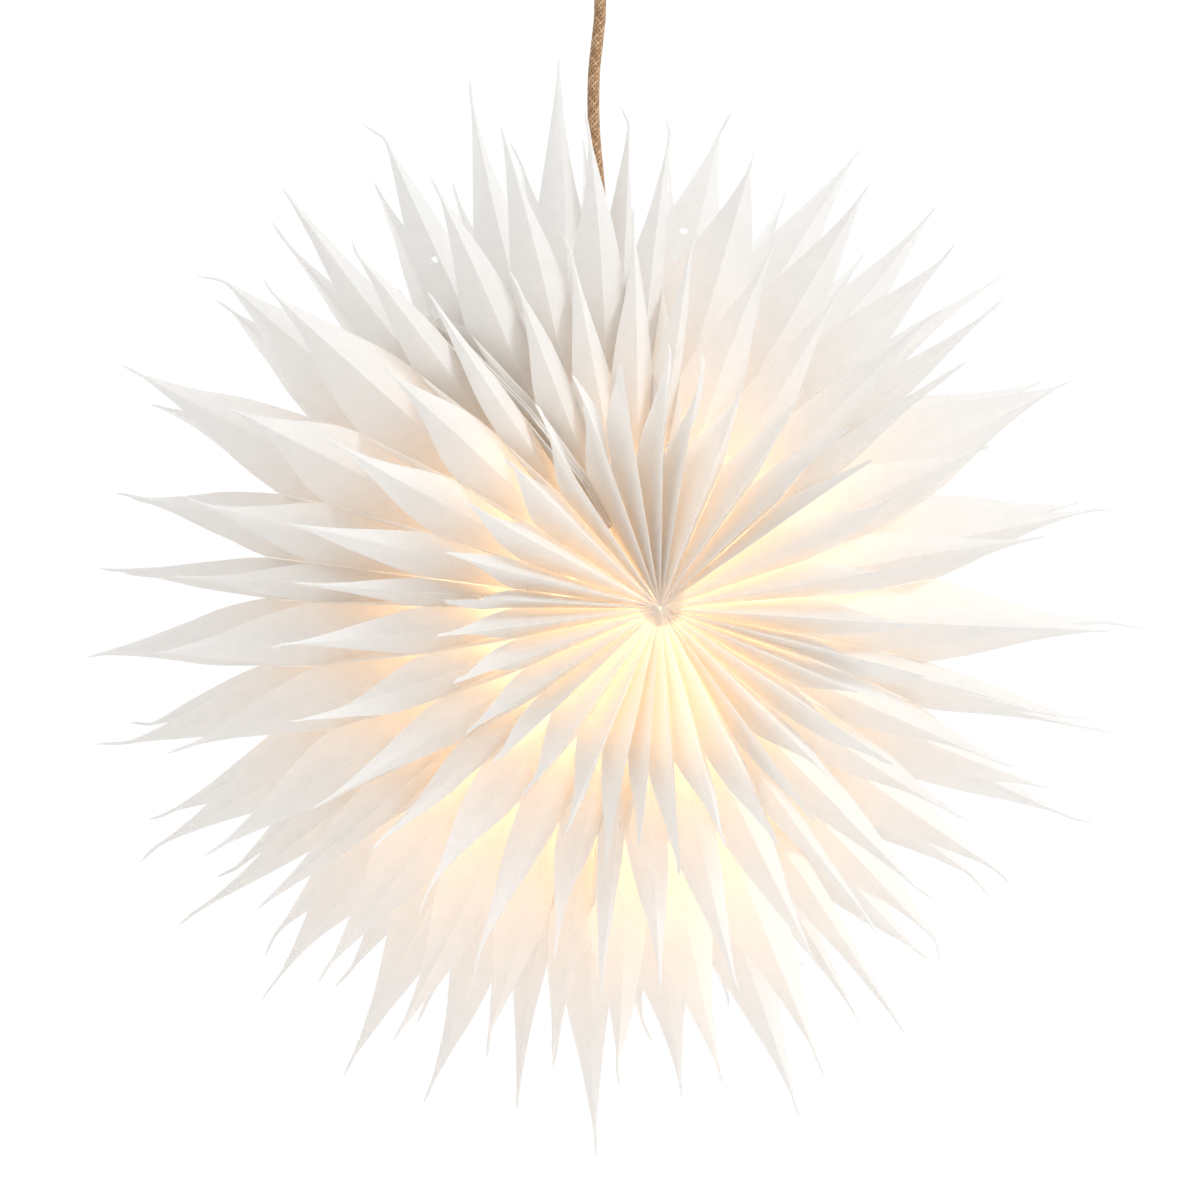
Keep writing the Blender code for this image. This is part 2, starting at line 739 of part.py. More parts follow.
def main():
    clear_scene()
    parts = new_collection(COLLECTION)
    helpers = new_collection("helpers", hidden=True)
    finishes = make_materials()
    ends = make_leaves(parts, helpers, finishes["paper"])
    make_spines(parts, finishes["glue"])
    make_seam(parts, helpers, finishes, ends)
    make_lamp(parts, finishes)
    make_cord(parts, finishes["cord"])
    make_ceiling_plate(parts, helpers, finishes["steel"])
    make_plate_screws(parts, finishes["steel"])
    make_ceiling_blocks(parts, finishes)
    make_ceiling_cup(parts, helpers, finishes)


main()
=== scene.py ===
"""The looks of the folding paper snowflake star lantern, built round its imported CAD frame.

Metres, +Z up, in the frame of the CAD. The star's axis is level, along Y, with its front pole towards -Y, and
an angle round it is measured from +X towards +Z. Each leaf of the star is one piece of folded paper: seven
V-shaped roofs that run out into spikes, and a side wall glued to the next leaf. A leaf is built standing on
the plane of +X, with the star's axis along its Z, and is then turned to its place.
"""

import json
import math
import random

import bmesh
import bpy
from mathutils import Matrix, Quaternion, Vector, noise

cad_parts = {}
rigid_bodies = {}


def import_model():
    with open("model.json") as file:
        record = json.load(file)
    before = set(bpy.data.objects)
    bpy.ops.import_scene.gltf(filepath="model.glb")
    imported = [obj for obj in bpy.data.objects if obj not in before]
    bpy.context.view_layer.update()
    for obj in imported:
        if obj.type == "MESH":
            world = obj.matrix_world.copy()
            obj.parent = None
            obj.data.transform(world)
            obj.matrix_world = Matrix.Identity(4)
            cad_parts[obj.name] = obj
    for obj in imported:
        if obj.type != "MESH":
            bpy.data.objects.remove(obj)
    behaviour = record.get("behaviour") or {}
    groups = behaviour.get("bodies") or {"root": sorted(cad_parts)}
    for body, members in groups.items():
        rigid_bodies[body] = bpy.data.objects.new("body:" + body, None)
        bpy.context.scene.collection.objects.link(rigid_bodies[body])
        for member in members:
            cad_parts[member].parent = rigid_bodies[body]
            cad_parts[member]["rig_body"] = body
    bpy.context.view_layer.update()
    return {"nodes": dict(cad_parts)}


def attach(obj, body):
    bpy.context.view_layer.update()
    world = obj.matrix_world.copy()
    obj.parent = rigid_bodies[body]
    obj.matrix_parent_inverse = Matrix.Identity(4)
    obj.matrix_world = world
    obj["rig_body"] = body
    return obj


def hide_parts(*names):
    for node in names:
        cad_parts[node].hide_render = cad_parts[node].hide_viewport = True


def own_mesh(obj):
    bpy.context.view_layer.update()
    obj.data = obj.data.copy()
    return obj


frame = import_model()

# --- sizes shared with the CAD ----------------------------------------------------------------------

# A place in a leaf is (distance from the star's axis, distance along it). Rings of spikes are counted from
# the pole to the middle of the star, so that the last ring is on the equator.
STAR_DROP = 0.420
STAR_MIDDLE = Vector((0.0, 0.0, -STAR_DROP))
SPINE_HALF = 0.1725
LEAF_START = 0.0121
CAVITY_RADIUS = 0.083
CAVITY_HALF = 0.095
SPINE_POINTS = (0.1725, 0.115, 0.0575, 0.0)
TIP_ANGLES = (29.0, 46.5, 68.0, 90.0)
TIP_REACH = (0.278, 0.293, 0.292, 0.305)
NOTCHES = ((0.083, 0.181), (0.128, 0.152), (0.178, 0.073), (0.192, -0.014))
EQUATOR_RING = 3
# Angles that the leaves take up, in degrees, going away from the cord: clockwise in bundles, then the others.
CLOCKWISE = (
    (7.0, 16.0, 13.0, 12.0),
    (7.0, 17.0, 14.0, 15.0),
    (8.0, 11.5, 11.5, 12.0),
    (7.0, 13.0, 12.0, 11.0),
    (7.0, 10.0, 11.0, 13.0),
    (8.0, 11.5, 11.5, 11.5),
    (7.0, 11.0, 14.0, 15.0),
    (8.0,),
)
ANTICLOCKWISE = (10.5, 10.0, 10.0)
CORD_ANGLE = 90.0
GAP = 0.0003

# The cord's bends are (height above the star's middle, sideways). The lamp's heights are above it too.
CORD_DIAMETER = 0.007
CORD_BENDS = (
    (0.130, 0.0),
    (0.175, 0.0006),
    (0.216, 0.0010),
    (0.244, -0.0012),
    (0.272, -0.0036),
    (0.300, -0.0036),
    (0.322, -0.0014),
    (0.336, 0.0),
    (0.350, 0.0),
)
DISC_TOP = 0.0790
DISC_BOTTOM = 0.0774
CORD_LEAD = 0.012
# Depths below the ceiling.
CUP_GRIP_TOP = 0.0400
CUP_GRIP_BOTTOM = 0.0560
CORD_END = 0.0219

# --- paper ------------------------------------------------------------------------------------------

PAPER = 0.00022
BASE_ROWS = 6
SPIKE_ROWS = (0.0, 0.09, 0.19, 0.29, 0.39, 0.49, 0.58, 0.66, 0.73, 0.79, 0.84, 0.88, 0.92, 0.955, 0.98, 1.0)
SIDE_COLUMNS = 3
LINE_STEPS = 400
LEAF_SHARP = 28.0

# Roofs and walls start this far from the axis. Inside the star that is well off it, so that the bulb's light
# reaches the front. The gap between two leaves opens from the axis out to GLUED_REACH.
ROOF_STARTS = (0.0008, 0.070, 0.070, LEAF_START)
WALL_START = 0.075
WALL_HEIGHT_SHARE = 0.998
WALL_ROWS = 5
WALL_COLUMNS = 4
GLUED_REACH = 0.06

# A spike's length varies by LENGTH_SPREAD, between the two shares of its nominal length. It drifts aside, up
# or down, and twists, by spreads in degrees.
LENGTH_SPREAD = 0.09
SHORTEST_SHARE = 0.82
LONGEST_SHARE = 1.16
ASIDE_SPREAD = 3.0
LIFT_SPREAD = 3.2
TWIST = 20.0

# A spike's hook at its tip: its bend in degrees for each ring, where it starts as a share of the needle's
# start, and the share of the spike over which it bends.
HOOKS = (9.0, 13.0, 24.0, 27.0)
HOOK_STRENGTHS = (0.3, 0.6, 1.0, 1.3)
HOOK_STARTS = (0.94, 1.06)
HOOK_SPANS = (0.05, 0.20)

# A spike's outline: a belly and a waist that taper into a needle, which narrows to a point, with slightly
# ragged edges. The needle starts at a share of the spike's length. RAGGED_SIDES keeps the noise of a spike's
# two sides apart, as RIPPLE_SIDES does below.
TAPER = 1.05
TAPER_RANGE = (0.88, 1.15)
BELLY = 0.12
BELLY_RANGE = (0.6, 1.25)
BELLY_WAVE = 1.8
NEEDLE = 0.0013
NEEDLE_STARTS = (0.80, 0.93)
NEEDLE_THINNING = 0.4
POINT_SLOPE = 14.0
POINT_LEAST = 0.2
RAGGED = 0.22
RAGGED_RATE = 4.0
RAGGED_SIDES = 5.0
NOISE_SPAN = 100.0

# How far a roof's faces belly out or in, with ripples on top. Faces narrower than BULGE_WIDTH bulge less.
BULGES = (-0.0012, 0.0016)
BULGE_WIDTH = 0.012
RIPPLE = 0.0014
RIPPLE_RATE = 30.0
RIPPLE_SIDES = 7.0

# Round holes, at these distances from the axis.
HOLE_RADIUS = 0.00175
HOLE_SIDES = 24
PUNCH_DEPTH = 0.008
HOLES = {"leaf_cw_02": (0.202, 0.218), "leaf_cw_23": (0.196, 0.213), "leaf_ccw_03": (0.200, 0.217)}

# The tunnel that the paper leaves for the cord. Paper up to TUNNEL_REACH away from the leaf's edge is pushed.
CORD_CLEAR = 0.0048
CORD_TUNNEL = 0.022
TUNNEL_START = 0.7
TUNNEL_REACH = 0.02
TUNNEL_EASE = 0.025
TUNNEL_SHAPE = 0.8

# --- view and light ---------------------------------------------------------------------------------

CAMERA_AZIMUTH = -11.0
CAMERA_ELEVATION = 1.5
CAMERA_DISTANCE = 3.2
CAMERA_REACH = 100.0
VIEW_WIDTH = 0.69
SENSOR = 36.0
SKY_COLOUR = (0.975, 0.99, 1.0, 1.0)
SKY_STRENGTH = 0.90
BACKDROP_COLOUR = (1.0, 1.0, 1.0, 1.0)
BACKDROP_STRENGTH = 1.02
KEY_PLACE = (1.9, -2.0, 1.3)
KEY_SIZE = 1.1
KEY_POWER = 46.0
KEY_COLOUR = (1.0, 1.0, 1.0)
FLOOR_SIZE = 3.0
FLOOR_HEIGHT = -1.45
FLOOR_COLOUR = (0.86, 0.86, 0.86, 1.0)
GLOW_COLOUR = (1.0, 0.60, 0.30)
GLOW_STRENGTH = 95.0
GLOBE_COLOUR = (0.9, 0.87, 0.8, 1.0)


# --- materials --------------------------------------------------------------------------------------

# Fine lines in metal are drawn out along the axis with the small value: Z, or X.
LINES_UP = (1.0, 1.0, 0.05)
LINES_ACROSS = (0.05, 1.0, 1.0)


class Finish:
    """A node material under construction: a Principled shader and short calls that add nodes to it."""

    def __init__(self, name, roughness=0.5, metallic=0.0, specular=0.5):
        self.material = bpy.data.materials.new(name)
        self.material.use_nodes = True
        self.tree = self.material.node_tree
        self.shader = self.tree.nodes["Principled BSDF"]
        self.output = self.tree.nodes["Material Output"]
        self.shader.inputs["Roughness"].default_value = roughness
        self.shader.inputs["Metallic"].default_value = metallic
        self.shader.inputs["Specular IOR Level"].default_value = specular
        self.place = self.add("ShaderNodeTexCoord").outputs["Object"]

    def add(self, kind, values=(), **settings):
        """A new node, with its settings and the values of its sockets."""
        node = self.tree.nodes.new(kind)
        for key, value in settings.items():
            setattr(node, key, value)
        for key, value in dict(values).items():
            node.inputs[key].default_value = value
        return node

    def link(self, output, node, socket):
        """Links an output to a socket of a node."""
        self.tree.links.new(output, node.inputs[socket])

    def stretched(self, scale):
        """Places scaled along each axis, so that a noise on them is drawn out."""
        mapping = self.add("ShaderNodeMapping")
        mapping.inputs["Scale"].default_value = scale
        self.link(self.place, mapping, "Vector")
        return mapping.outputs["Vector"]

    def noise(self, scale, detail=3.0, roughness=0.5, place=None):
        """A noise from 0 to 1."""
        node = self.add("ShaderNodeTexNoise", {"Scale": scale, "Detail": detail, "Roughness": roughness})
        self.link(place or self.place, node, "Vector")
        return node.outputs["Fac"]

    def ramp(self, factor, stops):
        """A colour for a factor, blended between stops of (position, colour)."""
        node = self.add("ShaderNodeValToRGB")
        elements = node.color_ramp.elements
        for index, (position, colour) in enumerate(stops):
            element = elements[index] if index < 2 else elements.new(position)
            element.position = position
            element.color = (*colour, 1.0)
        self.link(factor, node, "Fac")
        return node.outputs["Color"]

    def bump(self, height, strength, distance, onto=None):
        """A normal bent by a height, on top of another bump where one is given."""
        node = self.add("ShaderNodeBump", {"Strength": strength, "Distance": distance})
        self.link(height, node, "Height")
        if onto is not None:
            self.link(onto, node, "Normal")
        return node.outputs["Normal"]

    def use(self, colour=None, normal=None, roughness=None):
        """Links these outputs to the shader, and returns the finish itself."""
        for output, socket in ((colour, "Base Color"), (normal, "Normal"), (roughness, "Roughness")):
            if output is not None:
                self.link(output, self.shader, socket)
        return self


def paper_finish(name, low, high, glow_low, glow_high, share):
    """Matt paper with fibres in it. share is how much of the light that it doesn't keep goes through it.

    A sheet scatters light once, where the light comes in, so its far face lets the light out as it is.
    """
    finish = Finish(name, roughness=0.82, specular=0.25)
    clouds = finish.noise(55.0, 5.0, 0.62)
    fibres = finish.noise(900.0, 3.0, 0.7, finish.stretched((1.0, 0.35, 1.0)))
    colour = finish.ramp(clouds, ((0.30, low), (0.72, high)))
    creases = finish.bump(finish.noise(24.0, 2.0), 0.35, 0.0012)
    grain = finish.bump(fibres, 0.12, 0.0002, creases)
    finish.use(colour=colour, normal=grain)
    through = finish.add("ShaderNodeBsdfTranslucent")
    formation = finish.noise(140.0, 6.0, 0.7)
    finish.link(finish.ramp(formation, ((0.28, glow_low), (0.74, glow_high))), through, "Color")
    finish.link(creases, through, "Normal")
    both = finish.add("ShaderNodeMixShader", {"Fac": share})
    finish.link(finish.shader.outputs["BSDF"], both, 1)
    finish.link(through.outputs["BSDF"], both, 2)
    once = finish.add("ShaderNodeMixShader")
    finish.link(finish.add("ShaderNodeNewGeometry").outputs["Backfacing"], once, 0)
    finish.link(both.outputs["Shader"], once, 1)
    finish.link(finish.add("ShaderNodeBsdfTransparent").outputs["BSDF"], once, 2)
    finish.link(once.outputs["Shader"], finish.output, "Surface")
    return finish.material


def plastic_finish(name, low, high, roughness):
    """Moulded plastic, ceramic or thread: a fine grain, and a shade between low and high."""
    finish = Finish(name, roughness=roughness, specular=0.45)
    grain = finish.bump(finish.noise(1400.0, 2.0), 0.12, 0.0001)
    colour = finish.ramp(finish.noise(30.0, 4.0), ((0.3, low), (0.7, high)))
    return finish.use(colour=colour, normal=grain).material


def metal_finish(name, low, high, roughness, stretch):
    """Metal with fine lines, drawn out along the axis that stretch makes small, and faint stains."""
    finish = Finish(name, roughness=roughness, metallic=1.0)
    lines = finish.noise(700.0, 4.0, 0.6, finish.stretched(stretch))
    stains = finish.noise(60.0, 4.0, 0.6)
    colour = finish.ramp(stains, ((0.25, low), (0.75, high)))
    return finish.use(colour=colour, normal=finish.bump(lines, 0.25, 0.00012)).material


def cord_finish(name):
    """Braided jute and linen. A point attribute holds each point's colour value: painted shade, darkest in
    the grooves and holes between the strands, times each strand's own tone.
    """
    finish = Finish(name, roughness=0.88, specular=0.2)
    shade = finish.add("ShaderNodeAttribute", attribute_name="braid_tone_and_painted_shade").outputs["Fac"]
    # The ramp paints the shade: near black in the holes between the strands, light tan on their crowns.
    tan = finish.ramp(
        shade,
        (
            (0.0, (0.030, 0.013, 0.006)),
            (0.45, (0.205, 0.103, 0.048)),
            (0.78, (0.540, 0.345, 0.195)),
            (1.0, (0.820, 0.600, 0.395)),
        ),
    )
    fibres = finish.noise(2600.0, 3.0, 0.7, finish.stretched((1.0, 1.0, 0.4)))
    finish.use(colour=tan, normal=finish.bump(fibres, 0.5, 0.0003))
    finish.shader.inputs["Sheen Weight"].default_value = 0.25
    finish.shader.inputs["Sheen Roughness"].default_value = 0.5
    return finish.material


def lamp_finish(name, colour, strength):
    """Frosted glass that gives light."""
    finish = Finish(name, roughness=0.35)
    finish.shader.inputs["Base Color"].default_value = GLOBE_COLOUR
    finish.shader.inputs["Emission Color"].default_value = (*colour, 1.0)
    finish.shader.inputs["Emission Strength"].default_value = strength
    return finish.material


def make_finishes():
    """Every material of the lantern, by the name of its slot."""
    return {
        "leaf_paper": paper_finish(
            "leaf_paper",
            low=(0.865, 0.872, 0.872),
            high=(0.905, 0.912, 0.912),
            glow_low=(0.90, 0.87, 0.83),
            glow_high=(0.97, 0.945, 0.91),
            share=0.50,
        ),
        "board_card": paper_finish(
            "board_card",
            low=(0.82, 0.80, 0.75),
            high=(0.88, 0.86, 0.82),
            glow_low=(0.75, 0.55, 0.35),
            glow_high=(0.85, 0.68, 0.48),
            share=0.15,
        ),
        "spine_glue": paper_finish(
            "spine_glue",
            low=(0.90, 0.88, 0.82),
            high=(0.94, 0.92, 0.88),
            glow_low=(0.86, 0.78, 0.66),
            glow_high=(0.92, 0.85, 0.74),
            share=0.45,
        ),
        "tie_thread": plastic_finish("tie_thread", (0.80, 0.78, 0.72), (0.90, 0.88, 0.84), 0.9),
        "cord_textile": cord_finish("cord_textile"),
        "white_plastic": plastic_finish("white_plastic", (0.84, 0.83, 0.81), (0.88, 0.87, 0.85), 0.38),
        "cup_plastic": plastic_finish("cup_plastic", (0.86, 0.85, 0.83), (0.90, 0.89, 0.87), 0.32),
        "terminal_plastic": plastic_finish("terminal_plastic", (0.74, 0.74, 0.70), (0.82, 0.82, 0.79), 0.45),
        "holder_ceramic": plastic_finish("holder_ceramic", (0.86, 0.84, 0.80), (0.93, 0.92, 0.89), 0.6),
        "bulb_plastic": plastic_finish("bulb_plastic", (0.86, 0.85, 0.83), (0.90, 0.89, 0.87), 0.3),
        "bulb_metal": metal_finish(
            "bulb_metal",
            low=(0.62, 0.62, 0.61),
            high=(0.80, 0.80, 0.79),
            roughness=0.32,
            stretch=LINES_UP,
        ),
        "thread_metal": metal_finish(
            "thread_metal",
            low=(0.60, 0.42, 0.18),
            high=(0.80, 0.62, 0.32),
            roughness=0.35,
            stretch=LINES_UP,
        ),
        "plate_steel": metal_finish(
            "plate_steel",
            low=(0.48, 0.49, 0.50),
            high=(0.68, 0.69, 0.70),
            roughness=0.40,
            stretch=LINES_ACROSS,
        ),
        "bulb_glass": lamp_finish("bulb_glass", GLOW_COLOUR, GLOW_STRENGTH),
    }


# --- leaves -----------------------------------------------------------------------------------------


def cavity_edge(height):
    """How far from the axis the lamp space, an ellipsoid, reaches at this distance along it."""
    share = 1.0 - (height / CAVITY_HALF) ** 2
    return CAVITY_RADIUS * math.sqrt(share) if share > 0.0 else 0.0


def tip_of(ring):
    """The place of a ring's spike tips in a leaf."""
    angle = math.radians(TIP_ANGLES[ring])
    return Vector((TIP_REACH[ring] * math.sin(angle), TIP_REACH[ring] * math.cos(angle)))


def first_point(start, end, nearest):
    """Where the line from a spine point leaves the spine or the lamp space."""
    for step in range(LINE_STEPS):
        point = start.lerp(end, step / LINE_STEPS)
        if point.x >= nearest and point.x >= cavity_edge(point.y) + GAP:
            return point
    return end


def smooth(share):
    """A share from 0 to 1, eased at both of its ends and held there."""
    share = min(1.0, max(0.0, share))
    return share * share * (3.0 - 2.0 * share)


def spike_line(start, tip, ring, needle_start, rng):
    """The ridge of a spike from its notch to its tip, bending a little and hooking over at its end."""
    along = tip - start
    length = along.length * min(LONGEST_SHARE, max(SHORTEST_SHARE, rng.gauss(1.0, LENGTH_SPREAD)))
    heading = math.atan2(along.y, along.x)
    hook_start = needle_start * rng.uniform(*HOOK_STARTS)
    hook_span = rng.uniform(*HOOK_SPANS)
    drift = [math.radians(rng.gauss(0.0, ASIDE_SPREAD)), math.radians(rng.gauss(0.0, LIFT_SPREAD))]
    strength = HOOKS[ring] * rng.choice(HOOK_STRENGTHS)
    way = rng.uniform(0.0, 2.0 * math.pi)
    hook = [math.radians(strength) * math.sin(way), math.radians(strength) * math.cos(way)]
    points = [Vector((start.x, 0.0, start.y))]
    for low, high in zip(SPIKE_ROWS, SPIKE_ROWS[1:]):
        middle = (low + high) / 2
        curl = smooth((middle - hook_start) / hook_span)
        aside = drift[0] * middle + hook[0] * curl
        lift = heading + drift[1] * middle + hook[1] * curl
        step = Vector((math.cos(lift) * math.cos(aside), math.sin(aside), math.sin(lift) * math.cos(aside)))
        points.append(points[-1] + step * length * (high - low))
    return points


def spike_widths(full, needle_start, rng):
    """Half widths of a spike's left and right side, row by row: a belly, a waist, then a thin needle."""
    taper = TAPER * rng.uniform(*TAPER_RANGE)
    belly = BELLY * rng.uniform(*BELLY_RANGE)
    place = rng.uniform(0.0, NOISE_SPAN)
    widths = []
    for share in SPIKE_ROWS:
        swell = 1.0 + belly * math.sin(BELLY_WAVE * math.pi * share)
        body = max(0.0, 1.0 - share / needle_start) ** taper * swell
        sharpening = min(1.0, (1.0 - share) * POINT_SLOPE + POINT_LEAST)
        needle = NEEDLE * (1.0 - NEEDLE_THINNING * share) * sharpening
        pair = []
        for side in (-1.0, 1.0):
            wander = noise.noise(Vector((share * RAGGED_RATE, side * RAGGED_SIDES, place)))
            ragged = 1.0 + RAGGED * share * wander
            pair.append(min(full, (full - needle) * body * ragged + needle))
        widths.append(pair)
    return widths


def roof_rows(ring, half_turn, rng):
    """One roof with its spike, as rows of points from its left edge over the ridge to its right edge."""
    spine = Vector((0.0, SPINE_POINTS[ring]))
    tip = tip_of(ring)
    notch = Vector(NOTCHES[ring])
    inset = GAP / 2 + PAPER / 2
    ridge_start = first_point(spine, tip, ROOF_STARTS[ring])
    valley_start = first_point(spine, notch, ROOF_STARTS[ring])
    ridge_notch = spine.lerp(tip, notch.x / tip.x)
    lines = []
    for row in range(BASE_ROWS):
        share = row / BASE_ROWS
        ridge = ridge_start.lerp(ridge_notch, share)
        edge = valley_start.lerp(notch, share)
        half = edge.x * math.tan(half_turn) - inset * smooth(edge.x / GLUED_REACH)
        fall = Vector((edge.x - ridge.x, 0.0, edge.y - ridge.y))
        lines.append((Vector((ridge.x, 0.0, ridge.y)), fall, (half, half), 0.0))
    full = notch.x * math.tan(half_turn) - inset
    drop = Vector((notch.x - ridge_notch.x, 0.0, notch.y - ridge_notch.y))
    needle_start = rng.uniform(*NEEDLE_STARTS)
    ridges = spike_line(ridge_notch, tip, ring, needle_start, rng)
    twist = math.radians(rng.gauss(0.0, TWIST))
    for share, ridge, pair in zip(SPIKE_ROWS, ridges, spike_widths(full, needle_start, rng)):
        lines.append((ridge, drop * (sum(pair) / 2 / full), pair, twist * smooth(share)))
    bulges = (rng.uniform(*BULGES), rng.uniform(*BULGES))
    wave = rng.uniform(0.0, NOISE_SPAN)
    rows = []
    for index, (ridge, fall, pair, roll) in enumerate(lines):
        after = lines[min(index + 1, len(lines) - 1)][0]
        before = lines[max(index - 1, 0)][0]
        along = (after - before).normalized()
        row = []
        for column in range(-SIDE_COLUMNS, SIDE_COLUMNS + 1):
            share = abs(column) / SIDE_COLUMNS
            right = column > 0
            side = 1.0 if right else -1.0
            edge = Quaternion(along, roll) @ Vector((fall.x, side * pair[right], fall.z))
            point = ridge + edge * share
            if 0.0 < share < 1.0:
                out = along.cross(edge).normalized() * side
                amount = math.sin(math.pi * share) * min(1.0, pair[right] / BULGE_WIDTH)
                place = point * RIPPLE_RATE + Vector((wave, side * RIPPLE_SIDES, 0.0))
                ripple = noise.noise(place) * RIPPLE
                point = point + out * amount * (bulges[right] + ripple)
            row.append(point)
        rows.append(row)
    return rows


def wall_rows(side, half_turn):
    """A side wall as rows of points from the lamp space or spine to the roofs' edges."""
    front = [Vector(notch) for notch in NOTCHES[:EQUATOR_RING]]
    outer = [Vector((LEAF_START, SPINE_HALF)), *front, Vector((NOTCHES[EQUATOR_RING][0], 0.0))]
    outer += [Vector((point.x, -point.y)) for point in reversed(outer[:-1])]
    samples = []
    for first, second in zip(outer, outer[1:]):
        samples += [first.lerp(second, step / WALL_ROWS) for step in range(WALL_ROWS)]
    samples.append(outer[-1])
    last = len(samples) - 1
    rows = []
    for index, edge in enumerate(samples):
        height = SPINE_HALF * (1.0 - 2.0 * index / last)
        inner = Vector((min(edge.x, max(WALL_START, cavity_edge(height))), height * WALL_HEIGHT_SHARE))
        row = []
        for step in range(WALL_COLUMNS + 1):
            point = inner.lerp(edge, step / WALL_COLUMNS)
            aside = side * (point.x * math.tan(half_turn) - GAP / 2 - PAPER / 2)
            row.append(Vector((point.x, aside, point.y)))
        rows.append(row)
    return rows


def add_grid(bm, rows, mirror=False):
    """Rows of points as a sheet of quads. A mirrored one stands behind the equator."""
    sign = -1.0 if mirror else 1.0
    made = [[bm.verts.new((point.x, point.y, point.z * sign)) for point in row] for row in rows]
    for first, second in zip(made, made[1:]):
        for a, b, c, d in zip(first, first[1:], second[1:], second):
            corners = (d, c, b, a) if mirror else (a, b, c, d)
            bm.faces.new(corners)


def round_cord(bm, edge_side, half_turn):
    """Pushes the paper beside the cord clear of it, as a smooth tunnel along the leaf's edge."""
    turn = Matrix.Rotation(-edge_side * half_turn, 3, "Z")
    back = turn.inverted()
    for vert in bm.verts:
        point = turn @ vert.co
        away = -edge_side * point.y
        near = abs(point.z) / CORD_TUNNEL
        if near >= 1.0 or point.x < CAVITY_RADIUS * TUNNEL_START or away > TUNNEL_REACH:
            continue
        clear = CORD_CLEAR * math.cos(near * math.pi / 2) ** TUNNEL_SHAPE
        moved = clear + max(0.0, away - GAP) * (1.0 - clear / TUNNEL_EASE)
        if moved > away:
            vert.co = back @ Vector((point.x, -edge_side * moved, point.z))


def evaluated(mesh, name, modify):
    """A new mesh: this one after the modifiers that modify adds to an object that holds it."""
    obj = bpy.data.objects.new(name, mesh)
    bpy.context.scene.collection.objects.link(obj)
    modify(obj)
    graph = bpy.context.evaluated_depsgraph_get()
    made = bpy.data.meshes.new_from_object(obj.evaluated_get(graph))
    bpy.data.objects.remove(obj, do_unlink=True)
    return made


def thicken(obj):
    """Gives a sheet the thickness of paper, half on either side."""
    solid = obj.modifiers.new("thickness", "SOLIDIFY")
    solid.thickness = PAPER
    solid.offset = 0.0
    solid.use_rim = True


def ridge_reach(row):
    """How far from the axis the ridge is in a row of a roof."""
    return row[SIDE_COLUMNS].x


def punched(mesh, rows, places):
    """The thickened roof with a round hole at each distance from the star's axis, in its right-hand side."""
    for place in places:
        below = max((row for row in rows if ridge_reach(row) <= place), key=ridge_reach)
        above = min((row for row in rows if ridge_reach(row) > place), key=ridge_reach)
        share = (place - ridge_reach(below)) / (ridge_reach(above) - ridge_reach(below))
        ridge = below[SIDE_COLUMNS].lerp(above[SIDE_COLUMNS], share)
        middle = below[SIDE_COLUMNS + 1].lerp(above[SIDE_COLUMNS + 1], share)
        across = (above[SIDE_COLUMNS] - below[SIDE_COLUMNS]).cross(middle - ridge)
        bm = bmesh.new()
        turn = across.to_track_quat("Z", "Y").to_matrix().to_4x4()
        bmesh.ops.create_cone(
            bm,
            cap_ends=True,
            segments=HOLE_SIDES,
            radius1=HOLE_RADIUS,
            radius2=HOLE_RADIUS,
            depth=PUNCH_DEPTH,
            matrix=Matrix.Translation(middle) @ turn,
        )
        punch_mesh = bpy.data.meshes.new("punch")
        bm.to_mesh(punch_mesh)
        bm.free()
        punch = bpy.data.objects.new("punch", punch_mesh)
        bpy.context.scene.collection.objects.link(punch)

        def cut(obj, tool=punch):
            """Cuts the tool out of the object."""
            boolean = obj.modifiers.new("hole", "BOOLEAN")
            boolean.operation = "DIFFERENCE"
            boolean.solver = "EXACT"
            boolean.object = tool

        mesh = evaluated(mesh, "punched", cut)
        bpy.data.objects.remove(punch, do_unlink=True)
    return mesh


def leaf_mesh(name, half_turn, wall_sides, cord_side, holes):
    """One leaf: a roof for each spike, and its walls. cord_side is the side with the cord, or 0 for none."""
    rng = random.Random("snowflake " + name)
    sheets = []
    for ring in range(len(SPINE_POINTS)):
        sheets.append((roof_rows(ring, half_turn, rng), False, holes if ring == EQUATOR_RING else ()))
        if ring != EQUATOR_RING:
            sheets.append((roof_rows(ring, half_turn, rng), True, ()))
    sheets += [(wall_rows(side, half_turn), False, ()) for side in wall_sides]
    whole = bmesh.new()
    for rows, mirror, places in sheets:
        bm = bmesh.new()
        add_grid(bm, rows, mirror)
        if cord_side:
            round_cord(bm, cord_side, half_turn)
        bmesh.ops.recalc_face_normals(bm, faces=bm.faces)
        sheet = bpy.data.meshes.new(name)
        bm.to_mesh(sheet)
        bm.free()
        whole.from_mesh(punched(evaluated(sheet, name, thicken), rows, places))
    mesh = bpy.data.meshes.new(name)
    whole.to_mesh(mesh)
    whole.free()
    mesh.shade_smooth()
    mesh.set_sharp_from_angle(angle=math.radians(LEAF_SHARP))
    return mesh


def star_turn(angle):
    """Turns a shape that stands on the plane of +X, with its spine along Z, to this angle round the star."""
    return Matrix.Rotation(-math.radians(angle), 4, "Y") @ Matrix.Rotation(math.pi / 2, 4, "X")


def link(obj, material=None):
    """Puts an object in the scene, with a material where one is given."""
    bpy.context.scene.collection.objects.link(obj)
    if material is not None:
        obj.data.materials.clear()
        obj.data.materials.append(material)
    return obj


